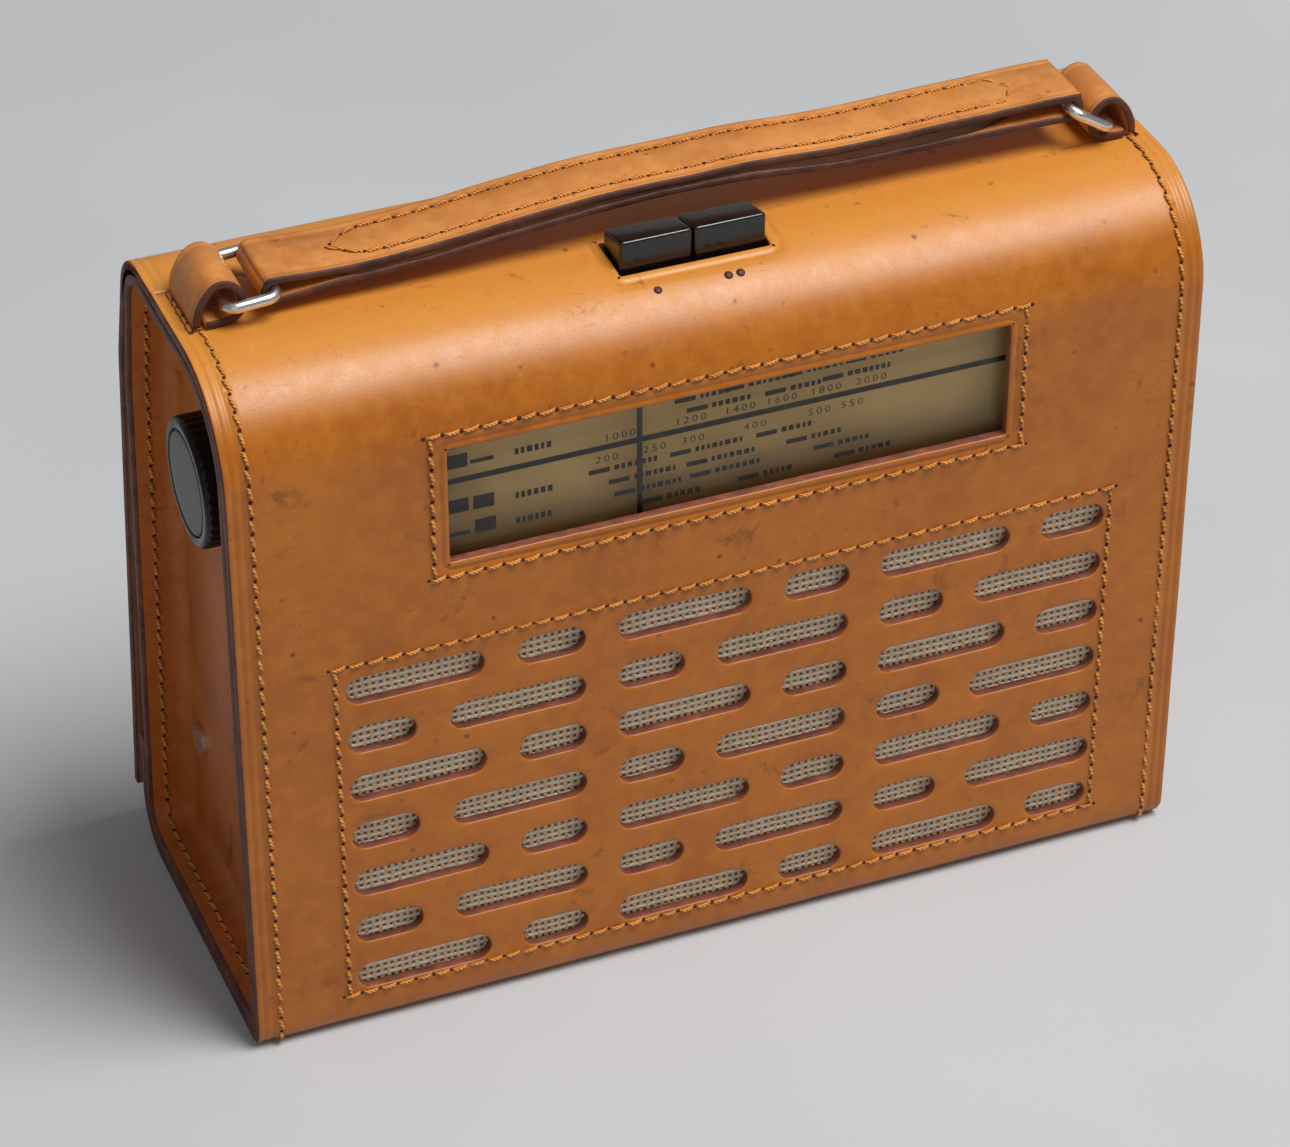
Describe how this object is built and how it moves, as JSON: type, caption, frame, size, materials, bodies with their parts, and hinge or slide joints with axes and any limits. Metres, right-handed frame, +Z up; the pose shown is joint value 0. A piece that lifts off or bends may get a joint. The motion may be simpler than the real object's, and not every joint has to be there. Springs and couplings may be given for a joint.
{
  "type": "portable radio",
  "caption": "Portable radio in a sewn leather case: slotted front, long dial window, two push keys, end knobs, rear flap and a strap handle on wire rings.",
  "frame": {"origin": "centre of the bounding box on the surface the case stands on", "axes": "+X along the case to its right end as seen from the front, +Y to the rear flap, +Z up"},
  "size_m": [0.26, 0.108, 0.214],
  "materials": {
    "case_leather": "vegetable-tanned, satin, worn",
    "gusset_leather": "vegetable-tanned, satin",
    "strap_leather": "stitched plies with burnished edges",
    "dark_leather": "burnished",
    "nickel": "nickel plated, slightly dull",
    "grille_cloth": "basket weave",
    "hardboard": "raw board",
    "dial_glass": "clear, printed behind",
    "dial_plate": "satin olive gold",
    "black_plastic": "moulded",
    "pointer_paint": "satin black",
    "bright_steel": "turned",
    "cord": "waxed",
    "chassis_metal": "passivated sheet",
    "drum_plastic": "moulded",
    "knob_plastic": "polished rim, fluted side",
    "knob_metal": "satin, faint radial grain",
    "vane_metal": "stamped sheet",
    "key_plastic": "polished",
    "switch_plastic": "moulded",
    "speaker_metal": "stamped basket",
    "speaker_paper": "pulp cone",
    "magnet": "ground",
    "brass": "plain",
    "board_laminate": "phenolic paper",
    "can_metal": "drawn cans",
    "transistor_paint": "gloss",
    "capacitor_sleeve": "sleeve",
    "resistor_body": "banded",
    "transformer_core": "laminations",
    "ferrite": "sintered",
    "coil_winding": "covered wire on paper",
    "battery_tray": "moulded",
    "battery_case": "printed sleeve, plain"
  },
  "bodies": {
    "case": {"leather_wrap": "case_leather", "left_gusset": "gusset_leather", "right_gusset": "gusset_leather", "left_handle_bracket": "strap_leather", "right_handle_bracket": "strap_leather", "case_screws": "nickel", "case_nuts": "nickel", "stud_posts": "nickel", "grille_cloth": "grille_cloth", "baffle_board": "hardboard", "dial_glass": "dial_glass", "dial_plate": "dial_plate", "dial_cheeks": "black_plastic", "pointer_rail": "bright_steel", "drive_cord": "cord", "cord_guides": "chassis_metal", "tuning_capacitor": "chassis_metal", "stator_plates": "vane_metal", "volume_control": "chassis_metal", "key_switch": "switch_plastic", "speaker_basket": "speaker_metal", "speaker_cone": "speaker_paper", "speaker_magnet": "magnet", "speaker_screws": "brass", "chassis_frame": "chassis_metal", "circuit_board": "board_laminate", "board_pillars": "brass", "intermediate_cans": "can_metal", "transistors": "transistor_paint", "electrolytic_capacitors": "capacitor_sleeve", "resistors": "resistor_body", "output_transformer": "transformer_core", "ferrite_rod": "ferrite", "antenna_coils": "coil_winding", "rod_clips": "black_plastic", "battery_box": "battery_tray", "batteries": "battery_case", "battery_contacts": "brass"},
    "flap": {"back_flap": "case_leather", "stud_caps": "nickel"},
    "pointer": {"dial_pointer": "pointer_paint"},
    "tuning": {"drive_drum": "drum_plastic", "tuning_shaft": "bright_steel", "tuning_knob": "knob_plastic", "tuning_knob_disc": "knob_metal", "rotor_vanes": "vane_metal"},
    "volume": {"volume_shaft": "bright_steel", "volume_knob": "knob_plastic", "volume_knob_disc": "knob_metal"},
    "left_push_key": {"left_key": "key_plastic"},
    "right_push_key": {"right_key": "key_plastic"},
    "left_handle_ring": {"left_ring": "nickel"},
    "handle": {"handle_strap": "strap_leather", "handle_core": "dark_leather"},
    "right_handle_ring": {"right_ring": "nickel"}
  },
  "joints": [
    {"name": "flap_hinge", "type": "hinge", "parent": "case", "child": "flap", "pos_m": [0, 0.008, 0.1985], "axis": [1, 0, 0], "range_deg": [0, 115]},
    {"name": "tuning_turn", "type": "hinge", "parent": "case", "child": "tuning", "pos_m": [0.124, -0.0201, 0.156], "axis": [-1, 0, 0], "range_deg": [-24, 146]},
    {"name": "pointer_slide", "type": "slide", "parent": "case", "child": "pointer", "axis": [1, 0, 0], "range_m": [-0.0116, 0.0691]},
    {"name": "volume_turn", "type": "hinge", "parent": "case", "child": "volume", "pos_m": [-0.124, -0.0201, 0.156], "axis": [1, 0, 0], "range_deg": [-135, 135]},
    {"name": "left_key_press", "type": "slide", "parent": "case", "child": "left_push_key", "axis": [0, 0, -1], "range_m": [0, 0.004], "stiffness_N_per_m": 400, "springref_m": -0.001},
    {"name": "right_key_press", "type": "slide", "parent": "case", "child": "right_push_key", "axis": [0, 0, -1], "range_m": [0, 0.004], "stiffness_N_per_m": 400, "springref_m": -0.001},
    {"name": "left_ring_lift", "type": "hinge", "parent": "case", "child": "left_handle_ring", "pos_m": [-0.1175, -0.0106, 0.2042], "axis": [0, -1, 0], "range_deg": [0, 20]},
    {"name": "strap_pivot", "type": "hinge", "parent": "left_handle_ring", "child": "handle", "pos_m": [-0.10454, -0.0106, 0.2052], "axis": [0, -1, 0], "range_deg": [-22, 0.5]},
    {"name": "right_ring_pivot", "type": "hinge", "parent": "handle", "child": "right_handle_ring", "pos_m": [0.1065, -0.0106, 0.2102], "axis": [0, -1, 0], "range_deg": [-0.5, 10]}
  ],
  "couplings": [
    {"joint": "pointer_slide", "follows": "tuning_turn", "m_per_rad": 0.027},
    {"joint": "strap_pivot", "follows": "left_ring_lift", "ratio": -1.0817},
    {"joint": "right_ring_pivot", "follows": "left_ring_lift", "ratio": 0.4842}
  ]
}
